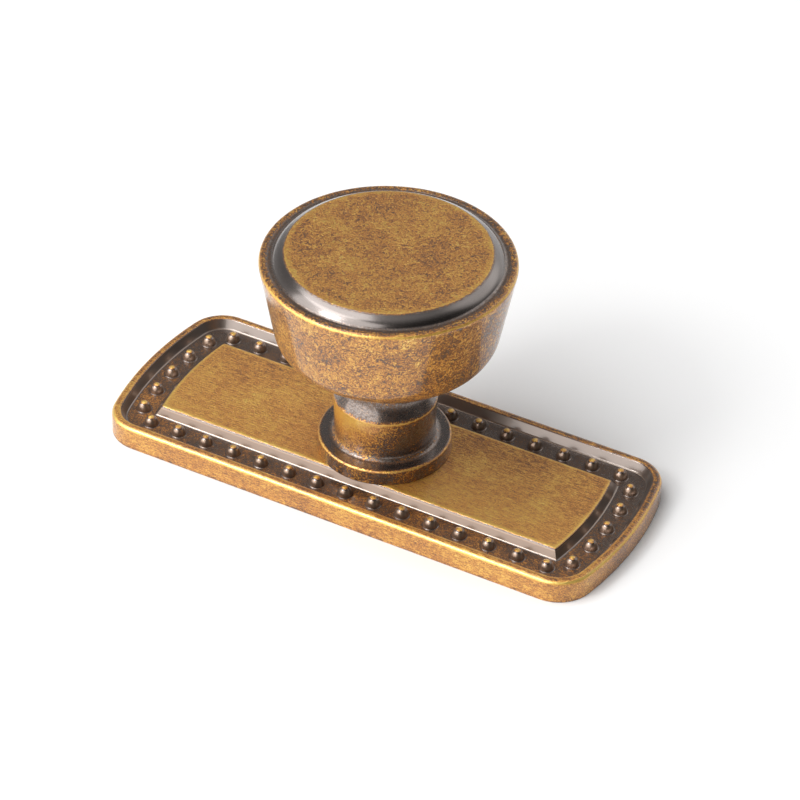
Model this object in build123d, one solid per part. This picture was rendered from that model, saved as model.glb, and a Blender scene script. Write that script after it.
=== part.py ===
from build123d import *

import os
from math import cos, radians, sin, sqrt, tan

# A cabinet knob with a flat-topped mushroom head, standing on a long beaded backplate.
# Millimetres. The origin is the middle of the backplate's back face, which lies on the cabinet
# front. +X runs along the plate and +Z points out of the cabinet, towards the knob's head.

# Backplate: outline
plate_length = 69.4
plate_width = 27.4
plate_thickness = 3.15
end_radius = 47.0
corner_radius = 4.85
outer_edge_round = 0.6

# Backplate: the beaded channel between the rim and the raised panel
rim_width = 1.1
channel_width = 5.0
channel_depth = 1.25
channel_wall_lean = 0.5
smallest_corner = 0.3
worn_edge_round = 0.15

# Backplate: the beads, whose tops are level with the panel
bead_radius = 0.9
bead_pitch = 4.0
bead_root = 0.5

# Backplate: the hollow behind the panel, which keeps the casting's wall even, and its screw boss
panel_wall = 1.9
hollow_margin = 1.0
hollow_corner = 1.5
hollow_lean = 0.3
boss_wall = 2.5

# Mounting screw and its two holes, clear in the plate and tapped in the knob
screw_diameter = 4.0
screw_clearance = 0.5
thread_pitch = 0.7
thread_depth = 12.0
drill_point_angle = 118.0
hole_mouth_chamfer = 0.4

# Knob: foot flange, neck and stem
foot_flange = 2.2
foot_height = 2.0
foot_draft = 0.15
foot_edge_round = 0.35
neck_radius = 6.3
neck_height = 5.85
neck_cove = 1.5
ridge_flare = 0.2
ridge_round = 0.1
stem_radius = 4.3
stem_height = 3.5
stem_cove = 2.5

# Knob: head, a tapered cup with a conical underside
head_radius = 15.87
head_taper = 10.8
head_side_height = 11.85
underside_angle = 29.0
head_lower_round = 4.0

# Knob: the head's top, from the rim's lip over a shallow groove and a bevel to the flat disc
lip_width = 0.95
lip_round = 0.45
lip_inner_round = 0.4
groove_run = 0.6
groove_depth = 0.22
groove_round = 0.35
groove_wall_run = 0.6
groove_wall_height = 0.75
bevel_width = 1.05
bevel_height = 0.6
bevel_round = 2.0
disc_edge_round = 0.1

# Values that follow from the sizes above
end_centre = plate_length / 2 - end_radius
floor_height = plate_thickness - channel_depth
bead_inset = rim_width + channel_width / 2
panel_inset = rim_width + channel_width
clearance_radius = (screw_diameter + screw_clearance) / 2
tapping_radius = (screw_diameter - thread_pitch) / 2


def outline(inset, corner=0.0):
    """The plate's outline moved inwards by inset: a strip between two bowed ends about fixed centres."""
    strip = Rectangle(plate_length, plate_width - 2 * inset)
    bow = end_radius - inset
    face = strip & Pos(end_centre, 0) * Circle(bow) & Pos(-end_centre, 0) * Circle(bow)
    if corner > 0:
        face = fillet(face.vertices(), corner)
    return face


def rounded_outline(inset):
    """The outline with the plate's rounded corners, whose radius shrinks as the outline moves inwards."""
    return outline(inset, max(corner_radius - inset, smallest_corner))


def leaning_block(lower, bottom, upper, top):
    """A block with straight leaning walls from a lower outline at one height to an upper one at another."""
    return loft([Pos(0, 0, bottom) * lower, Pos(0, 0, top) * upper], ruled=True)


def bead_places():
    """Bead centres on the channel's middle line: a straight row on each side, a bowed row at each end."""
    row_y = plate_width / 2 - bead_inset
    bow = end_radius - bead_inset
    panel_half_width = plate_width / 2 - panel_inset
    panel_corner = end_centre + sqrt((end_radius - panel_inset) ** 2 - panel_half_width ** 2)
    row_count = round(2 * panel_corner / bead_pitch) + 1
    end_count = round(2 * panel_half_width / bead_pitch) + 1
    places = []
    for index in range(row_count):
        x = (index - (row_count - 1) / 2) * bead_pitch
        places += [(x, row_y), (x, -row_y)]
    for index in range(end_count):
        turn = (index - (end_count - 1) / 2) * bead_pitch / bow
        x = end_centre + bow * cos(turn)
        places += [(x, bow * sin(turn)), (-x, bow * sin(turn))]
    return places


def make_bead():
    """One bead: a post with a half-round top level with the panel, its root sunk in the channel floor."""
    centre = plate_thickness - bead_radius
    post_height = centre - floor_height + bead_root
    post = Cylinder(bead_radius, post_height, align=(Align.CENTER, Align.CENTER, Align.MAX))
    return Pos(0, 0, centre) * (post + Sphere(bead_radius))


def make_backplate():
    """The plate casting: rimmed tray, raised panel, beads, hollow back with its boss, screw hole."""
    slab = extrude(rounded_outline(0), plate_thickness)
    slab = fillet(slab.faces().sort_by(Axis.Z)[-1].edges(), outer_edge_round)
    channel_floor = rounded_outline(rim_width + channel_wall_lean)
    tray = slab - leaning_block(channel_floor, floor_height, rounded_outline(rim_width), plate_thickness)
    rim_top = tray.faces().sort_by(Axis.Z)[-1]
    tray = fillet(rim_top.inner_wires()[0].edges(), worn_edge_round)

    panel_foot = outline(panel_inset - channel_wall_lean)
    panel = leaning_block(panel_foot, floor_height, outline(panel_inset), plate_thickness)
    panel = fillet(panel.faces().sort_by(Axis.Z)[-1].edges(), worn_edge_round)

    bead = make_bead()
    beads = [Pos(x, y) * bead for x, y in bead_places()]
    plate = tray + panel + beads

    hollow_inset = panel_inset + hollow_margin
    hollow_mouth = outline(hollow_inset, hollow_corner)
    hollow_roof = outline(hollow_inset + hollow_lean, hollow_corner)
    hollow = leaning_block(hollow_mouth, 0, hollow_roof, plate_thickness - panel_wall)
    through = (Align.CENTER, Align.CENTER, Align.MIN)
    boss = Cylinder(clearance_radius + boss_wall, plate_thickness, align=through)
    screw_hole = Cylinder(clearance_radius, plate_thickness, align=through)
    return plate - (hollow - boss) - screw_hole


def make_knob():
    """The knob: one turned section, from the tapped hole round the foot, stem and head to the disc."""
    hole_top = plate_thickness + thread_depth
    drill_point = tapping_radius / tan(radians(drill_point_angle / 2))
    foot_radius = neck_radius + foot_flange
    foot_top = plate_thickness + foot_height
    ridge_height = foot_top + neck_height
    stem_middle = ridge_height + stem_height
    head_base_radius = head_radius - head_side_height * tan(radians(head_taper))
    head_base = stem_middle + (head_base_radius - stem_radius) * tan(radians(underside_angle))
    lip_top = head_base + head_side_height
    lip_inner_radius = head_radius - lip_width
    groove_radius = lip_inner_radius - groove_run
    groove_floor = lip_top - groove_depth
    bevel_radius = groove_radius - groove_wall_run
    bevel_foot = groove_floor + groove_wall_height
    disc_radius = bevel_radius - bevel_width
    disc_top = bevel_foot + bevel_height

    corners = [
        (tapping_radius, hole_top, 0),
        (tapping_radius, plate_thickness + hole_mouth_chamfer, 0),
        (tapping_radius + hole_mouth_chamfer, plate_thickness, 0),
        (foot_radius, plate_thickness, 0),
        (foot_radius - foot_draft, foot_top, foot_edge_round),
        (neck_radius, foot_top, neck_cove),
        (neck_radius + ridge_flare, ridge_height, ridge_round),
        (stem_radius, stem_middle, stem_cove),
        (head_base_radius, head_base, head_lower_round),
        (head_radius, lip_top, lip_round),
        (lip_inner_radius, lip_top, lip_inner_round),
        (groove_radius, groove_floor, groove_round),
        (bevel_radius, bevel_foot, bevel_round),
        (disc_radius, disc_top, disc_edge_round),
    ]
    hole_tip = (0, hole_top + drill_point)
    disc_middle = (0, disc_top)
    points = [hole_tip] + [(radius, height) for radius, height, _ in corners] + [disc_middle]
    rounds = [corner_round for _, _, corner_round in corners]
    with BuildSketch(Plane.XZ) as section:
        with BuildLine():
            FilletPolyline(*points, radius=rounds)
            Line(disc_middle, hole_tip)
        make_face()
    return revolve(section.sketch, Axis.Z)


pieces = {"backplate": make_backplate(), "knob": make_knob()}
os.makedirs("parts", exist_ok=True)
for name, piece in pieces.items():
    export_step(piece, f"parts/{name}.step")
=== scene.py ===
import bpy
import numpy as np
from mathutils import Matrix, Vector


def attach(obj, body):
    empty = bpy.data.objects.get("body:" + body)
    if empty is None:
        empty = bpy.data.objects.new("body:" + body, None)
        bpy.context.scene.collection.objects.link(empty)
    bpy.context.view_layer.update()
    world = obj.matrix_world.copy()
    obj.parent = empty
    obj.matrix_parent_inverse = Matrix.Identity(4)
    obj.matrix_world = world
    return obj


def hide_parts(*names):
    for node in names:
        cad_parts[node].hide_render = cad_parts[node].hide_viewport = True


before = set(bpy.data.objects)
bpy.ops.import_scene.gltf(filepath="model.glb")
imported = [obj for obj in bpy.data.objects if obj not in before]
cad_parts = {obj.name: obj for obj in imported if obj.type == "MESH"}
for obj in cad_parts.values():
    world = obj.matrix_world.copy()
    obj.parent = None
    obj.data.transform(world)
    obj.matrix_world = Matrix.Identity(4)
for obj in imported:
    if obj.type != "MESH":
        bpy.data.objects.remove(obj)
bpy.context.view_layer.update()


# Backplate
# A long plate of antiqued brass, cast in one piece with its rim, raised panel and forty beads.
# It lies flat on the cabinet front, hollow behind the panel, held by the knob's screw through its boss.
MM = 0.001

plate_length = 69.4
plate_width = 27.4
plate_thickness = 3.15
end_radius = 47.0
corner_radius = 4.85
panel_corner_radius = 0.2
channel_floor = 1.95
hollow_depth = 1.25
hollow_corner_radius = 1.5
boss_radius = 4.75
screw_hole_radius = 2.25
end_centre = plate_length / 2 - end_radius

# Section corners: inset from the outline, height, round, wear on the corner, wear on the face after it, step.
plate_section = [
    (7.30, plate_thickness, 0.00, 0.00, 0.59, 0.5),
    (6.10, plate_thickness, 0.32, 0.35, 0.00, 0.3),
    (5.35, channel_floor, 0.35, -0.05, 0.25, 0.5),
    (1.85, channel_floor, 0.35, -0.05, 0.00, 0.3),
    (1.10, plate_thickness, 0.30, 0.24, 0.47, 0.2),
    (0.00, plate_thickness, 0.60, 0.38, 0.51, 0.4),
    # The bottom edge's corner value of -0.15 is painted shade: a darker line along the foot of the outer wall, where
    # the plate meets the floor.
    (0.00, 0.00, 0.08, -0.15, 0.35, 1.2),
    (7.10, 0.00, 0.10, 0.00, 0.15, 0.6),
    (7.40, hollow_depth, 0.30, 0.00, 0.15, 0.6),
    (8.30, hollow_depth, 0.00, 0.00, 0.15, 0.6),
]
# From this corner on the outlines belong to the back, with the hollow's corner radius.
first_back_corner = 6
# The same section values about the screw hole, with the radius in place of the inset.
boss_section = [
    (5.15, hollow_depth, 0.00, 0.00, 0.15, 0.5),
    (boss_radius, hollow_depth, 0.25, 0.00, 0.15, 0.6),
    (boss_radius, 0.00, 0.10, 0.00, 0.35, 0.6),
    (screw_hole_radius, 0.00, 0.10, 0.00, 0.15, 0.6),
    (screw_hole_radius, plate_thickness, 0.10, 0.00, 0.59, 0.6),
    (3.20, plate_thickness, 0.00, 0.00, 0.59, 0.6),
]
# Painted shade: the plate's wear grows by this much for each millimetre towards the front, so the back, where the
# knob's shadow falls, is painted darker.
painted_back_shade_per_mm = 0.006

bead_pitch = 4.0
bead_inset = 3.6
beads_along_side, beads_along_end = 15, 5
bead_radius, bead_height = 0.92, 1.2
bead_dome_share = 0.92
bead_foot = 0.2
bead_sink = 0.005
bead_root = 0.3
bead_columns = 32
# A bead's wear by the distance from its axis: a rubbed tip, then smooth flanks. Its foot stays dark.
bead_rub = [(0.00, 0.80), (0.30, 0.74), (0.52, 0.07)]
bead_foot_wear = 0.16


def section(corners, arc_steps=7, beside=0.05, wear_reach=0.18):
    """Points along straight runs between corners, each inner corner cut by an arc that touches both its runs.

    The arc's centre is on the corner's bisector, at round / sin(half angle) from the corner, and its ends are at
    round / tan(half angle) along the runs. A run has a point just beside each arc and even steps between.
    Wear is the face's own value, blended over the arcs, plus the corner's value times a bell over the distance from
    the arc's middle. The bell leans towards the face that is worn more, in full where the two are clearly apart.
    Returns the points, their wear, and the number of the corner that each follows."""
    beside_limit, clearly_apart, lean = 0.3, 0.3, 0.15
    tiny, hair = 1e-9, 1e-6
    table = np.array(corners)
    spots = table[:, :2]
    starts, ends, arcs = [spots[0]], [spots[0]], [spots[:1]]
    for before, corner, after, radius in zip(spots[:-2], spots[1:-1], spots[2:], table[1:-1, 2]):
        back = (before - corner) / np.linalg.norm(before - corner)
        ahead = (after - corner) / np.linalg.norm(after - corner)
        half = np.arccos(np.clip(back @ ahead, -1, 1)) / 2
        start = corner + back * radius / np.tan(half)
        end = corner + ahead * radius / np.tan(half)
        middle = corner + (back + ahead) / np.linalg.norm(back + ahead) * radius / np.sin(half)
        side = np.sign(back[0] * ahead[1] - back[1] * ahead[0])
        turn = -side * np.linspace(0, np.pi - 2 * half, arc_steps if radius > 0 else 1)
        arm = start - middle
        across = arm[0] * np.cos(turn) - arm[1] * np.sin(turn)
        up = arm[0] * np.sin(turn) + arm[1] * np.cos(turn)
        starts.append(start)
        ends.append(end)
        arcs.append(middle + np.stack([across, up], 1))
    starts.append(spots[-1])
    ends.append(spots[-1])
    arcs.append(spots[-1:])

    points, follows = [arcs[0]], [np.zeros(1, int)]
    for number, (end, start, step) in enumerate(zip(ends[:-1], starts[1:], table[:-1, 5])):
        length = np.linalg.norm(start - end)
        edge = min(beside / max(length, tiny), beside_limit)
        share = np.linspace(edge, 1 - edge, 2 + int(length / step))
        arc = arcs[number + 1]
        points += [end + share[:, None] * (start - end), arc]
        follows += [np.full(len(share), number), np.full(len(arc), number + 1)]
    points = np.concatenate(points)
    follows = np.concatenate(follows)

    along = np.concatenate([[0], np.cumsum(np.linalg.norm(np.diff(points, axis=0), axis=1))])

    def distance_to(spot):
        """How far along the section the point nearest to a spot is."""
        return along[np.argmin(np.linalg.norm(points - spot, axis=1))]

    arc_starts = np.array([distance_to(spot) for spot in starts])
    arc_ends = np.array([distance_to(spot) for spot in ends])
    stations = np.stack([arc_starts, arc_ends + hair], 1).ravel()[1:-1]
    wear_and_painted_light = np.interp(along, stations, np.repeat(table[:-1, 4], 2))
    change = np.clip(np.diff(table[:, 4], prepend=table[0, 4]) / clearly_apart, -1, 1)
    bell_middles = (arc_starts + arc_ends) / 2 + lean * change * (arc_ends - arc_starts)
    gap = along[:, None] - bell_middles
    wear_and_painted_light = wear_and_painted_light + (table[:, 3] * np.exp(-(gap / wear_reach) ** 2)).sum(1)
    return points, wear_and_painted_light, follows


def plate_rings(inset, corner, end_points=22, corner_points=14, side_points=60):
    """The plate's outline moved inwards, as one closed ring of points for each inset and corner radius.

    A quarter runs along the end arc about its fixed centre, round the corner arc that touches the end arc and
    the straight side, then along the side to the middle; it is mirrored into the other three quarters."""
    inset, corner = inset[:, None], corner[:, None]
    bow = end_radius - inset
    corner_y = plate_width / 2 - inset - corner
    corner_x = end_centre + np.sqrt((bow - corner) ** 2 - corner_y ** 2)
    meet = np.arctan2(corner_y, corner_x - end_centre)
    end_turn = np.linspace(0, 1, end_points, endpoint=False) * meet
    corner_turn = meet + np.linspace(0, 1, corner_points, endpoint=False) * (np.pi / 2 - meet)
    side = np.linspace(1, 0, side_points) * corner_x
    x = np.concatenate([end_centre + bow * np.cos(end_turn), corner_x + corner * np.cos(corner_turn), side], 1)
    y = np.concatenate([bow * np.sin(end_turn), corner_y + corner * np.sin(corner_turn),
                        corner_y + corner + 0 * side], 1)
    quarter = np.stack([x, y], 2)
    left, down = np.array([-1, 1]), np.array([1, -1])
    return np.concatenate([quarter[:, :-1], (quarter * left)[:, :0:-1],
                           (quarter * left * down)[:, :-1], (quarter * down)[:, :0:-1]], 1)


def plate_surface(blend_rings=6):
    """The plate's skin: rings that go out over the panel, channel and rim, in across the back, and up the hole.

    Rings near the edge are outlines at the section's inset and height. Rings about the hole are circles through
    the same bearings, and the flat panel and hollow between them are even blends of an outline and a circle.
    Wear follows the section, a little more at the front than at the back: painted shade that darkens the back of the
    plate, where the knob's shadow falls."""
    outer, outer_wear_and_shade, follows = section(plate_section)
    inner, inner_wear, _ = section(boss_section)
    smallest = np.where(follows < first_back_corner, panel_corner_radius, hollow_corner_radius)
    corner = np.maximum(corner_radius - outer[:, 0], smallest)
    outlines = plate_rings(outer[:, 0], corner)
    bearing = np.arctan2(outlines[0, :, 1], outlines[0, :, 0])
    circles = inner[:, :1, None] * np.stack([np.cos(bearing), np.sin(bearing)], 1)
    share = np.linspace(0, 1, blend_rings + 2)[1:-1, None, None]
    under = outlines[-1] + share * (circles[0] - outlines[-1])
    over = circles[-1] + share * (outlines[0] - circles[-1])
    rings = np.concatenate([outlines, under, circles, over])
    flat = np.ones(blend_rings)
    height = np.concatenate([outer[:, 1], flat * inner[0, 1], inner[:, 1], flat * inner[-1, 1]])
    wear_and_painted_light = np.concatenate([outer_wear_and_shade, flat * inner_wear[0], inner_wear, flat * inner_wear[-1]])
    shape = rings.shape[:2]
    skin = np.concatenate([rings, np.broadcast_to(height[:, None, None], shape + (1,))], 2)
    return skin, wear_and_painted_light[:, None] - painted_back_shade_per_mm * rings[..., 1]


def grid_faces(rows, columns, closed_rows):
    """Four-sided faces of a grid whose columns close on themselves, and whose rows do too if they are closed."""
    row = np.arange(rows if closed_rows else rows - 1)[:, None]
    column = np.arange(columns)[None]
    next_row, next_column = (row + 1) % rows, (column + 1) % columns
    corners = [row * columns + column, next_row * columns + column,
               next_row * columns + next_column, row * columns + next_column]
    return np.stack(corners, 2).reshape(-1, 4)


def turned(points, wear_and_painted_light, columns):
    """A half section turned about the upright axis: each point but the poles at both ends becomes a ring.

    A ring's point is (radius cos t, radius sin t, height) for even turns t. Returns the points of the rings with
    the two poles after them, their wear, the faces between rings, and the three-sided faces about the poles."""
    t = np.arange(columns) * 2 * np.pi / columns
    radius, height = points[1:-1, :1], points[1:-1, 1:]
    rings = np.stack([radius * np.cos(t), radius * np.sin(t), height + 0 * t], 2)
    poles = np.array([[0, 0, points[0, 1]], [0, 0, points[-1, 1]]])
    skin = np.concatenate([rings.reshape(-1, 3), poles])
    skin_wear = np.concatenate([np.repeat(wear_and_painted_light[1:-1], columns), wear_and_painted_light[[0, -1]]])
    pole = len(rings) * columns
    last = pole - columns
    one = np.arange(columns)
    two = (one + 1) % columns
    fans = np.concatenate([np.stack([one, two, pole + 0 * one], 1),
                           np.stack([last + two, last + one, pole + 1 + 0 * one], 1)])
    return skin, skin_wear, grid_faces(len(rings), columns, False), fans


def bead_section(dome_points=16, foot_points=6):
    """Half section of a bead and its wear, from its tip to a pole under the channel floor.

    The dome is a quarter ellipse (radius sin t, height cos t) stopped short of the floor, and the foot a quarter wave
    that ends level, just under the floor. Then it goes down into the metal and in to the pole."""
    t = np.linspace(0, bead_dome_share * np.pi / 2, dome_points)
    dome = np.stack([bead_radius * np.sin(t), channel_floor + bead_height * np.cos(t)], 1)
    foot_radius, foot_top = dome[-1]
    turn = np.linspace(0, np.pi / 2, foot_points + 1)[1:]
    foot = np.stack([foot_radius + bead_foot * (1 - np.cos(turn)),
                     foot_top - (foot_top - channel_floor + bead_sink) * np.sin(turn)], 1)
    root = np.array([[bead_radius, channel_floor - bead_root], [0, channel_floor - bead_root]])
    dome_wear = np.interp(dome[:, 0], *zip(*bead_rub))
    foot_wear = np.full(len(foot) + len(root), bead_foot_wear)
    return np.concatenate([dome, foot, root]), np.concatenate([dome_wear, foot_wear])


def bead_spots():
    """Bead centres along the channel's middle line: even steps along both sides, and along both end arcs."""
    row = (np.arange(beads_along_side) - (beads_along_side - 1) / 2) * bead_pitch
    row_y = plate_width / 2 - bead_inset
    bow = end_radius - bead_inset
    turn = (np.arange(beads_along_end) - (beads_along_end - 1) / 2) * bead_pitch / bow
    end_x, end_y = end_centre + bow * np.cos(turn), bow * np.sin(turn)
    return np.concatenate([np.stack([row, row_y + 0 * row], 1), np.stack([row, -row_y + 0 * row], 1),
                           np.stack([end_x, end_y], 1), np.stack([-end_x, end_y], 1)])


def new_piece(name, points, faces, wear_and_painted_light, material):
    """A mesh object at the origin from points in millimetres, smooth, with its wear and painted light and shade kept as
    an attribute.
    """
    mesh = bpy.data.meshes.new(name)
    mesh.from_pydata((points * MM).tolist(), [], faces)
    mesh.polygons.foreach_set("use_smooth", np.ones(len(mesh.polygons), bool))
    mesh.attributes.new("wear_and_painted_light", "FLOAT", "POINT").data.foreach_set("value", wear_and_painted_light.astype(np.float32))
    mesh.validate()
    mesh.materials.append(material)
    piece = bpy.data.objects.new(name, mesh)
    bpy.context.scene.collection.objects.link(piece)
    return piece


def linear(hex_colour):
    """An sRGB hex colour as linear red, green, blue and full opacity, by the sRGB curve."""
    srgb = np.array([int(hex_colour[i:i + 2], 16) / 255 for i in (1, 3, 5)])
    rgb = np.where(srgb <= 0.04045, srgb / 12.92, ((srgb + 0.055) / 1.055) ** 2.4)
    return (*rgb.tolist(), 1.0)


def add(tree, kind, inputs=(), **settings):
    """Adds a node: settings are its properties, and an input takes a plain value or a link from a socket."""
    made = tree.nodes.new(kind)
    for name, value in settings.items():
        setattr(made, name, value)
    for name, value in dict(inputs).items():
        if isinstance(value, bpy.types.NodeSocket):
            tree.links.new(value, made.inputs[name])
        else:
            made.inputs[name].default_value = value
    return made


# Antique brass by how far it is rubbed: level, colour, metallic, roughness, relief of the mottling.
# Lowest are the satin cast walls (0 to 0.05), the beads' smooth flanks (0.07) and the head's polished bevel (0.09),
# then black-brown patina (0.14 to 0.28), golden brown, and bare gold at 1.
rubbed_levels = [
    (0.00, "#7F736B", 0.90, 0.34, 0.00),
    (0.05, "#7F6B5C", 0.90, 0.36, 0.00),
    (0.07, "#987F6C", 0.90, 0.38, 0.00),
    (0.09, "#7C7470", 0.95, 0.20, 0.00),
    (0.14, "#6C5F58", 0.85, 0.30, 0.00),
    (0.20, "#5C493D", 0.70, 0.40, 0.20),
    (0.28, "#674E3B", 0.65, 0.52, 0.60),
    (0.38, "#87603F", 0.80, 0.53, 1.00),
    (0.50, "#B77B43", 0.90, 0.52, 1.00),
    (0.64, "#D69C52", 0.97, 0.46, 1.00),
    (0.82, "#EEC665", 1.00, 0.42, 0.70),
    (1.00, "#FBE28E", 1.00, 0.37, 0.40),
]


def antique_brass(name, grain_mm, grain_turn, fleck_mm, cloud_mm, strengths):
    """Cast brass, blackened in a bath, rubbed back where it stands proud, then lacquered.

    grain_mm is the rubbing marks' length and width, along X turned by grain_turn, fleck_mm the size of the flecks of
    patina that stay, cloud_mm that of the darker clouds, and strengths how far each of the three moves the wear.
    Marks show on rubbed faces only. All three start above the smooth finish of the recesses, and all but a small
    part of them fades out towards the most rubbed edges."""
    marks_show = {"From Min": 0.28, "From Max": 0.42}
    change_starts = {"From Min": 0.10, "From Max": 0.25}
    change_fades = {"From Min": 0.36, "From Max": 0.80, "To Min": 1.0, "To Max": 0.15}
    relief_mm = 0.06
    lacquer = {"Coat Weight": 0.9, "Coat Roughness": 0.12}

    material = bpy.data.materials.new(name)
    material.use_nodes = True
    tree = material.node_tree
    tree.nodes.clear()
    place = add(tree, "ShaderNodeTexCoord").outputs["Object"]
    wear_and_painted_light = add(tree, "ShaderNodeAttribute", attribute_name="wear_and_painted_light").outputs["Fac"]
    length, width = grain_mm
    level_grain = add(tree, "ShaderNodeMapping", {"Vector": place, "Rotation": (0, 0, -grain_turn)})
    along = add(tree, "ShaderNodeMapping", {"Vector": level_grain.outputs[0],
                                            "Scale": (1 / length / MM, 1 / width / MM, 1 / width / MM)})
    grain = add(tree, "ShaderNodeTexNoise", {"Vector": along.outputs[0], "Scale": 1.0, "Detail": 3.0,
                                             "Roughness": 0.7})
    fleck = add(tree, "ShaderNodeTexNoise", {"Vector": place, "Scale": 1 / fleck_mm / MM, "Detail": 1.5,
                                             "Roughness": 0.6, "Distortion": 2.0})
    cloud = add(tree, "ShaderNodeTexNoise", {"Vector": place, "Scale": 1 / cloud_mm / MM, "Detail": 3.0,
                                             "Roughness": 0.55})
    mark, spot, patch = strengths
    marks = add(tree, "ShaderNodeMath", {0: grain.outputs["Fac"], 1: mark, 2: -mark / 2},
                operation="MULTIPLY_ADD").outputs[0]
    mottle = add(tree, "ShaderNodeMath", {0: fleck.outputs["Fac"], 1: spot, 2: -(spot + patch) / 2},
                 operation="MULTIPLY_ADD").outputs[0]
    mottle = add(tree, "ShaderNodeMath", {0: cloud.outputs["Fac"], 1: patch, 2: mottle},
                 operation="MULTIPLY_ADD").outputs[0]
    marked = add(tree, "ShaderNodeMapRange", {"Value": wear_and_painted_light, **marks_show}).outputs[0]
    started = add(tree, "ShaderNodeMapRange", {"Value": wear_and_painted_light, **change_starts}).outputs[0]
    evened = add(tree, "ShaderNodeMapRange", {"Value": wear_and_painted_light, **change_fades}).outputs[0]
    broken = add(tree, "ShaderNodeMath", {0: started, 1: evened}, operation="MULTIPLY").outputs[0]
    change = add(tree, "ShaderNodeMath", {0: marks, 1: marked, 2: mottle}, operation="MULTIPLY_ADD").outputs[0]
    level = add(tree, "ShaderNodeMath", {0: change, 1: broken, 2: wear_and_painted_light}, operation="MULTIPLY_ADD",
                use_clamp=True).outputs[0]
    relief = add(tree, "ShaderNodeMath", {0: marks, 1: mottle}, operation="ADD").outputs[0]
    colours = add(tree, "ShaderNodeValToRGB", {"Fac": level})
    surfaces = add(tree, "ShaderNodeValToRGB", {"Fac": level})
    for ramp in (colours.color_ramp, surfaces.color_ramp):
        ramp.elements[1].position = rubbed_levels[-1][0]
        for row in rubbed_levels[1:-1]:
            ramp.elements.new(row[0])
    for number, (_, colour, *surface) in enumerate(rubbed_levels):
        colours.color_ramp.elements[number].color = linear(colour)
        surfaces.color_ramp.elements[number].color = (*surface, 1)
    finish = add(tree, "ShaderNodeSeparateColor", {0: surfaces.outputs["Color"]})
    bump = add(tree, "ShaderNodeBump", {"Height": relief, "Strength": finish.outputs["Blue"],
                                        "Distance": relief_mm * MM})
    metal = add(tree, "ShaderNodeBsdfPrincipled", {
        "Base Color": colours.outputs["Color"], "Metallic": finish.outputs["Red"],
        "Roughness": finish.outputs["Green"], "Normal": bump.outputs[0], **lacquer})
    add(tree, "ShaderNodeOutputMaterial", {"Surface": metal.outputs[0]})
    return material


# Antique brass rubbed by a belt along the plate: fine streaks on the panel, gold on edges, a brown matt channel.
plate_brass = antique_brass("antique_brass_belt_rubbed", grain_mm=(0.9, 0.14), grain_turn=0.0, fleck_mm=0.36,
                            cloud_mm=7.0, strengths=(1.7, 1.3, 0.8))

tray, tray_wear_and_shade = plate_surface()
tray_faces = grid_faces(tray.shape[0], tray.shape[1], True)
bead, bead_wear, bead_quads, bead_fans = turned(*bead_section(), bead_columns)
spots = np.pad(bead_spots(), ((0, 0), (0, 1)))
beads = (bead + spots[:, None]).reshape(-1, 3)
offsets = tray[..., 0].size + np.arange(len(spots))[:, None, None] * len(bead)
plate_points = np.concatenate([tray.reshape(-1, 3), beads])
plate_wear_and_shade = np.concatenate([tray_wear_and_shade.ravel(), np.tile(bead_wear, len(spots))])
plate_faces = (tray_faces.tolist() + (bead_quads + offsets).reshape(-1, 4).tolist()
               + (bead_fans + offsets).reshape(-1, 3).tolist())
backplate = new_piece("beaded_backplate", plate_points, plate_faces, plate_wear_and_shade, plate_brass)
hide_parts("backplate")
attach(backplate, "root")


# Knob
# A flat-topped mushroom knob of antiqued brass, cast and turned: foot, waisted stem and tapered head.
# It stands on the panel, and the cabinet screw comes up through the plate into its tapped hole.
knob_columns = 256
bore_radius = 1.65
thread_pitch = 0.7
thread_depth = 0.3
thread_from, thread_to = 3.75, 14.9

# Half section from the disc's middle to the drill point in the hole: radius, height and the rest, as above.
knob_section = [
    (0.00, 32.64, 0.00, 0.00, 0.56, 0.8),
    (12.67, 32.64, 0.25, 0.21, 0.09, 0.3),
    (13.72, 32.04, 2.70, 0.00, 0.10, 0.3),
    (14.32, 31.29, 0.60, 0.00, 0.20, 0.3),
    (14.92, 31.51, 1.00, 0.00, 0.40, 0.2),
    (15.865, 31.51, 0.50, 0.36, 0.50, 0.5),
    (13.61, 19.66, 4.00, 0.00, 0.46, 0.6),
    (4.30, 14.50, 2.50, 0.00, 0.13, 0.4),
    (6.50, 11.00, 0.12, 0.50, 0.36, 0.4),
    (6.30, 5.15, 0.80, 0.00, 0.11, 0.3),
    (8.35, 5.15, 0.35, 0.52, 0.26, 0.3),
    (8.50, plate_thickness, 0.12, 0.00, 0.20, 0.8),
    (2.05, plate_thickness, 0.00, 0.00, 0.20, 0.3),
    (bore_radius, 3.55, 0.00, 0.00, 0.20, 0.09),
    (bore_radius, 15.15, 0.00, 0.00, 0.20, 0.5),
    (0.00, 16.14, 0.00, 0.00, 0.20, 0.5),
]

# Painted light and shade on the neck: its wear is raised most on its front left, towards the lamps, and less for each
# millimetre below its ridge, down to dark patina, so it is painted lighter there and darker round its right and lower
# down.
neck_radius, neck_widest = 6.3, 6.6
neck_from, neck_to, neck_ridge = 5.5, 10.9, 11.0
neck_lit_bearing = np.radians(-125)
neck_lit_side_sheen, neck_sheen_fade, neck_darkest = 0.52, 0.07, 0.20
# Painted light and shade on the head's side: its wear is raised a little at the front and lowered round its right and
# back, so the side turned from the lamps is painted darker. Under the lip this blends out.
head_from, head_to, lip_blend = 15.0, 31.2, 0.8
head_lit_bearing = np.radians(-80)
head_side_light_and_shade, head_side_shade_offset, head_side_shade_least, head_side_shade_most = 0.13, 0.105, -0.07, 0.02


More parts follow.
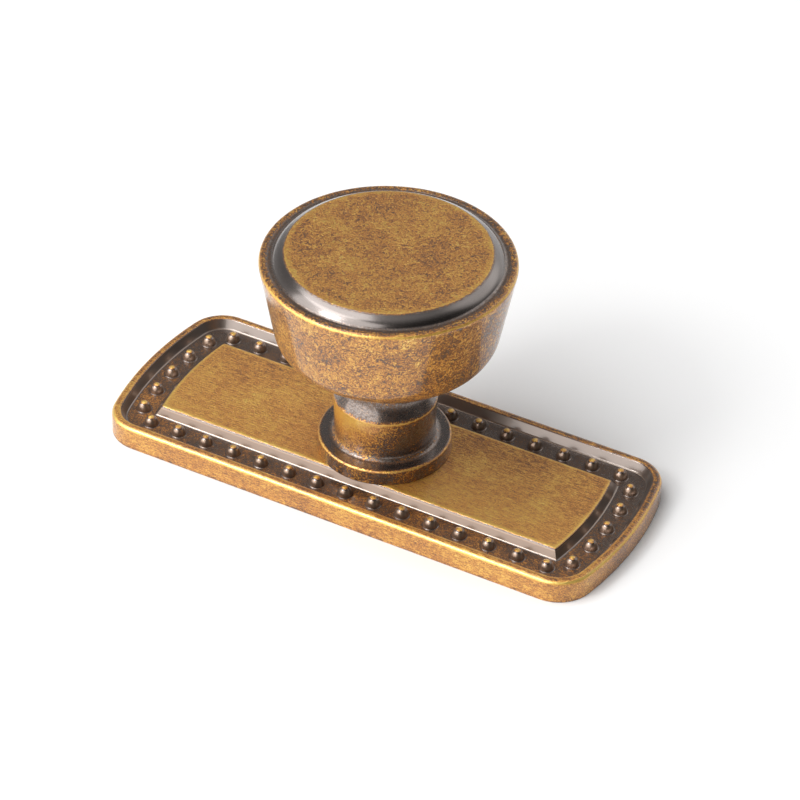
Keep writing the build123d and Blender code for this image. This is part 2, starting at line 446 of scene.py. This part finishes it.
def tapped(points):
    """The hole's rings pushed out into a screw thread: a ridge wave of height less turn, faded at both ends."""
    x, y, height = points.T
    turns = np.arctan2(y, x) / (2 * np.pi)
    inside = np.isclose(np.hypot(x, y), bore_radius) & (height > thread_from) & (height < thread_to)
    fade = np.clip(np.minimum(height - thread_from, thread_to - height) / thread_pitch, 0, 1)
    wave = 1 - np.abs(2 * ((height / thread_pitch - turns) % 1) - 1)
    grow = 1 + np.where(inside, thread_depth * wave * fade / bore_radius, 0)
    return points * np.stack([grow, grow, np.ones_like(grow)], 1)


def wear_with_painted_light(points, wear_and_painted_light):
    """The section's wear with the neck's painted light and the head side's painted light and shade added: each follows
    the cosine of the turn from its bearing.
    """
    x, y, z = points.T
    radius = np.hypot(x, y)
    neck_facing = (x * np.cos(neck_lit_bearing) + y * np.sin(neck_lit_bearing)) / neck_radius
    neck_wear_and_sheen = np.maximum(wear_and_painted_light + neck_lit_side_sheen * neck_facing - neck_sheen_fade * (neck_ridge - z), neck_darkest)
    on_neck = (radius < neck_widest) & (z > neck_from) & (z < neck_to)
    head_lit_facing = (x * np.cos(head_lit_bearing) + y * np.sin(head_lit_bearing)) / np.maximum(radius, neck_radius)
    head_side_painted_light = np.clip(head_side_light_and_shade * head_lit_facing - head_side_shade_offset, head_side_shade_least, head_side_shade_most)
    on_head = np.clip((head_to - z) / lip_blend, 0, 1) * (z > head_from) * (radius > neck_radius)
    return np.where(on_neck, neck_wear_and_sheen, wear_and_painted_light) + on_head * head_side_painted_light


# Antique brass rubbed by hand all round: mottled golden brown, black-brown in grooves, bright gold on edges.
knob_brass = antique_brass("antique_brass_hand_rubbed", grain_mm=(1.0, 0.25), grain_turn=np.radians(28), fleck_mm=0.46,
                           cloud_mm=3.5, strengths=(0.6, 2.1, 0.9))

knob_profile, knob_profile_wear, _ = section(knob_section, arc_steps=11)
knob_points, knob_wear, knob_quads, knob_fans = turned(knob_profile, knob_profile_wear, knob_columns)
knob = new_piece("mushroom_knob", tapped(knob_points), knob_quads.tolist() + knob_fans.tolist(),
                 wear_with_painted_light(knob_points, knob_wear), knob_brass)
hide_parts("knob")
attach(knob, "root")


# Studio floor
# A wide sheet of matt white paper under the plate, lit evenly enough to read as white and keep the soft shadow.
paper = bpy.data.materials.new("white_paper_matt")
paper.use_nodes = True
paper_shader = paper.node_tree.nodes["Principled BSDF"]
paper_shader.inputs["Base Color"].default_value = linear("#F6F6F6")
paper_shader.inputs["Roughness"].default_value = 0.9
paper_shader.inputs["Specular IOR Level"].default_value = 0.1
reach = 4.0
floor_corners = [(-reach, -reach, 0), (reach, -reach, 0), (reach, reach, 0), (-reach, reach, 0)]
floor_mesh = bpy.data.meshes.new("studio_floor")
floor_mesh.from_pydata(floor_corners, [], [(0, 1, 2, 3)])
floor_mesh.materials.append(paper)
floor = bpy.data.objects.new("studio_floor", floor_mesh)
bpy.context.scene.collection.objects.link(floor)


# Studio light
# A large scrim at front left lights the sides, with a small hot softbox behind it for the bright line on worn edges.
# A softbox above left is for the bevel, and the room round them has lighter and darker sides for the metal to mirror.
def softbox(name, direction, distance, width, height, radiance):
    """A rectangular lamp at a distance in a direction from the knob, facing it; power is radiance x pi x area."""
    lamp = bpy.data.lights.new(name, "AREA")
    lamp.shape = "RECTANGLE"
    lamp.size, lamp.size_y = width, height
    lamp.energy = radiance * np.pi * width * height
    holder = bpy.data.objects.new(name, lamp)
    towards = Vector(direction).normalized()
    holder.location = towards * distance
    holder.rotation_euler = towards.to_track_quat("Z", "Y").to_euler()
    bpy.context.scene.collection.objects.link(holder)


softbox("front_left_scrim", (-0.42, -0.74, 0.53), distance=1.0, width=1.5, height=1.25, radiance=2.2)
softbox("hot_softbox", (-0.40, -0.62, 0.67), distance=1.1, width=0.25, height=0.25, radiance=14.0)
softbox("upper_left_softbox", (-0.37, -0.17, 0.91), distance=1.2, width=0.9, height=0.75, radiance=2.7)

# The room's radiance by height, from the horizon to overhead, in a curve that takes values up to 1.
sky = [(0.0, 0.45), (0.3, 0.3), (0.6, 0.2), (0.85, 0.25), (1.0, 0.5)]
curve_top = 2.0
# Its lighter and darker sides: direction, cosines where each is full and where it ends, and radiance added.
sides = [
    ((0.05, 0.98, 0.10), 0.98, 0.72, 0.45),
    ((0.85, -0.45, 0.20), 0.85, 0.30, -0.20),
    ((0.38, 0.66, 0.65), 0.98, 0.86, 0.9),
    ((0.72, 0.69, 0.02), 0.99, 0.90, -0.30),
]

room = bpy.data.worlds.new("studio_room")
room.use_nodes = True
room_tree = room.node_tree
room_tree.nodes.clear()
bearing = add(room_tree, "ShaderNodeTexCoord").outputs["Generated"]
height = add(room_tree, "ShaderNodeSeparateXYZ", {0: bearing}).outputs["Z"]
sweep = add(room_tree, "ShaderNodeFloatCurve", {"Value": height})
curve = sweep.mapping.curves[0]
curve.points[0].location = (sky[0][0], sky[0][1] / curve_top)
curve.points[1].location = (sky[-1][0], sky[-1][1] / curve_top)
for spot, radiance in sky[1:-1]:
    curve.points.new(spot, radiance / curve_top)
sweep.mapping.update()
glow = add(room_tree, "ShaderNodeMath", {0: sweep.outputs[0], 1: curve_top}, operation="MULTIPLY").outputs[0]
for direction, full, ending, added in sides:
    middle = tuple(Vector(direction).normalized())
    facing = add(room_tree, "ShaderNodeVectorMath", {0: bearing, 1: middle}, operation="DOT_PRODUCT")
    share = add(room_tree, "ShaderNodeMapRange", {"Value": facing.outputs["Value"], "From Min": ending,
                                                  "From Max": full, "To Min": 0.0, "To Max": added},
                interpolation_type="SMOOTHSTEP")
    glow = add(room_tree, "ShaderNodeMath", {0: share.outputs[0], 1: glow}, operation="ADD").outputs[0]
room_light = add(room_tree, "ShaderNodeBackground", {"Color": (1, 1, 1, 1), "Strength": glow})
add(room_tree, "ShaderNodeOutputWorld", {"Surface": room_light.outputs[0]})
bpy.context.scene.world = room


# Camera
# A long lens above the plate's front right, turned and tilted as the photograph was taken.
azimuth, elevation, roll = np.radians([27.89, 37.86, 1.47])
camera_distance = 0.51096
focal_pixels, picture_pixels = 4019, 800
aim = Vector((-0.00296, 0.00943, 0.0024))
back = Vector((np.sin(azimuth) * np.cos(elevation), -np.cos(azimuth) * np.cos(elevation), np.sin(elevation)))
level_right = Vector((np.cos(azimuth), np.sin(azimuth), 0))
level_up = back.cross(level_right)
right = np.cos(roll) * level_right + np.sin(roll) * level_up
up = np.cos(roll) * level_up - np.sin(roll) * level_right
lens = bpy.data.cameras.new("camera")
lens.sensor_width = 36
lens.lens = focal_pixels / picture_pixels * lens.sensor_width
lens.clip_start, lens.clip_end = 0.01, 20
camera = bpy.data.objects.new("camera", lens)
camera_turn = Matrix((right, up, back)).transposed().to_4x4()
camera.matrix_world = Matrix.Translation(aim + camera_distance * back) @ camera_turn
bpy.context.scene.collection.objects.link(camera)
bpy.context.scene.camera = camera
bpy.context.scene.view_settings.view_transform = "Standard"
